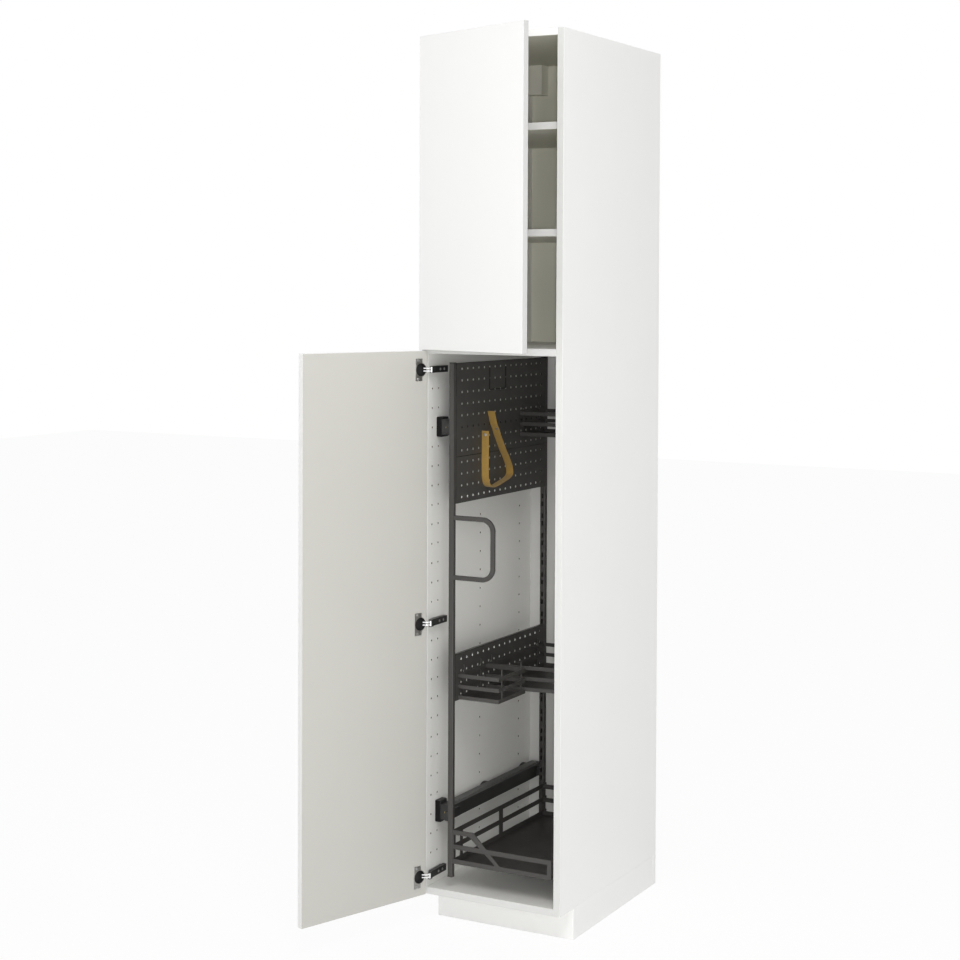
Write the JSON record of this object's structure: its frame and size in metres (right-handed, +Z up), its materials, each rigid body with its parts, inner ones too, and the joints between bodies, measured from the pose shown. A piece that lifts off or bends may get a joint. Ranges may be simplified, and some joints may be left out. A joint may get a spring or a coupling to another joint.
{
  "type": "kitchen cabinet",
  "caption": "Tall narrow kitchen cabinet on a plinth, with hinged doors, shelves above and a pull-out frame that carries baskets, perforated sheets, a handle and a strap.",
  "frame": {"origin": "on the floor, in the middle of the cabinet's width, in the plane of the wall that its back stands against", "axes": "+X to the right seen from the front, +Y into the wall, +Z up; the doors face -Y"},
  "size_m": [0.5228, 0.9847, 2.28],
  "materials": {
    "white_board": "white melamine-faced board, matt",
    "white_plastic": "moulded white plastic",
    "dark_metal": "anthracite powder coat",
    "tray": "dark brown-grey lining",
    "black_plastic": "moulded black plastic",
    "hinge_black": "black lacquer",
    "chrome": "bright plated",
    "steel": "zinc-plated steel",
    "runner": "black lacquer, glossy",
    "brass": "plated",
    "strap": "ochre webbing"
  },
  "bodies": {
    "cabinet": {"side_panel_left": "white_board", "side_panel_right": "white_board", "top_panel": "white_board", "middle_panel": "white_board", "bottom_panel": "white_board", "back_panel_lower": "white_board", "back_panel_upper": "white_board", "wall_rail": "steel", "wall_hangers": "steel", "hanger_covers": "white_plastic", "shelf_low": "white_board", "shelf_high": "white_board", "shelf_pins": "steel", "plinth_front": "white_board", "plinth_side": "white_board", "plinth_back": "white_board", "leg_sockets": "black_plastic", "leg_feet": "black_plastic", "plinth_clips": "black_plastic", "lower_hinge_arms": "hinge_black", "lower_hinge_plates": "steel", "upper_hinge_arms": "hinge_black", "upper_hinge_plates": "steel", "hinge_screws": "chrome", "top_runner_outer": "runner", "top_runner_bracket": "black_plastic", "low_runner_outer": "runner", "low_runner_bracket": "black_plastic", "runner_clips": "black_plastic"},
    "lower_door": {"lower_door": "white_board", "lower_hinge_cups": "steel"},
    "upper_door": {"upper_door": "white_board", "upper_hinge_cups": "steel"},
    "lower_hinge_links": {"lower_hinge_links": "chrome"},
    "upper_hinge_links": {"upper_hinge_links": "chrome"},
    "pull_out": {"top_runner_inner": "runner", "low_runner_inner": "runner", "runner_carriers": "black_plastic", "runner_screws": "brass", "front_post": "dark_metal", "rear_post": "dark_metal", "post_caps": "black_plastic", "upper_sheet": "dark_metal", "lower_sheet": "dark_metal", "middle_sheet": "dark_metal", "pull_handle": "dark_metal", "floor_basket_frame": "dark_metal", "floor_basket_tray": "tray", "strap": "strap", "strap_studs": "steel", "wire_hanger": "dark_metal"},
    "top_runner_middle": {"top_runner_middle": "runner"},
    "low_runner_middle": {"low_runner_middle": "runner"},
    "front_basket": {"front_basket_frame": "dark_metal", "front_basket_tray": "tray"},
    "rear_basket": {"rear_basket_frame": "dark_metal", "rear_basket_tray": "tray"},
    "top_basket": {"top_basket_frame": "dark_metal", "top_basket_tray": "tray"}
  },
  "joints": [
    {"name": "lower_door_hinge", "type": "hinge", "parent": "cabinet", "child": "lower_door", "pos_m": [-0.191, -0.6135, 0.7805], "axis": [0, 0, -1], "range_deg": [-109, 1]},
    {"name": "lower_link_pivot", "type": "hinge", "parent": "cabinet", "child": "lower_hinge_links", "pos_m": [-0.1679, -0.6069, 0.7805], "axis": [0, 0, 1], "range_deg": [-47.59, 0.44]},
    {"name": "upper_door_hinge", "type": "hinge", "parent": "cabinet", "child": "upper_door", "pos_m": [-0.191, -0.6135, 1.8805], "axis": [0, 0, -1], "range_deg": [-21, 89]},
    {"name": "upper_link_pivot", "type": "hinge", "parent": "cabinet", "child": "upper_hinge_links", "pos_m": [-0.1679, -0.6069, 1.8805], "axis": [0, 0, 1], "range_deg": [-9.17, 38.86]},
    {"name": "pull_out_slide", "type": "slide", "parent": "cabinet", "child": "pull_out", "axis": [0, -1, 0], "range_m": [0, 0.45]},
    {"name": "top_runner_slide", "type": "slide", "parent": "cabinet", "child": "top_runner_middle", "axis": [0, -1, 0], "range_m": [0, 0.225]},
    {"name": "low_runner_slide", "type": "slide", "parent": "cabinet", "child": "low_runner_middle", "axis": [0, -1, 0], "range_m": [0, 0.225]},
    {"name": "front_basket_lift", "type": "slide", "parent": "pull_out", "child": "front_basket", "axis": [0, 0, 1], "range_m": [0, 0.012]},
    {"name": "rear_basket_lift", "type": "slide", "parent": "pull_out", "child": "rear_basket", "axis": [0, 0, 1], "range_m": [0, 0.012]},
    {"name": "top_basket_lift", "type": "slide", "parent": "pull_out", "child": "top_basket", "axis": [0, 0, 1], "range_m": [0, 0.012]}
  ],
  "couplings": [
    {"joint": "lower_link_pivot", "follows": "lower_door_hinge", "ratio": 0.4366},
    {"joint": "upper_link_pivot", "follows": "upper_door_hinge", "ratio": 0.4366},
    {"joint": "top_runner_slide", "follows": "pull_out_slide", "ratio": 0.5},
    {"joint": "low_runner_slide", "follows": "pull_out_slide", "ratio": 0.5}
  ]
}
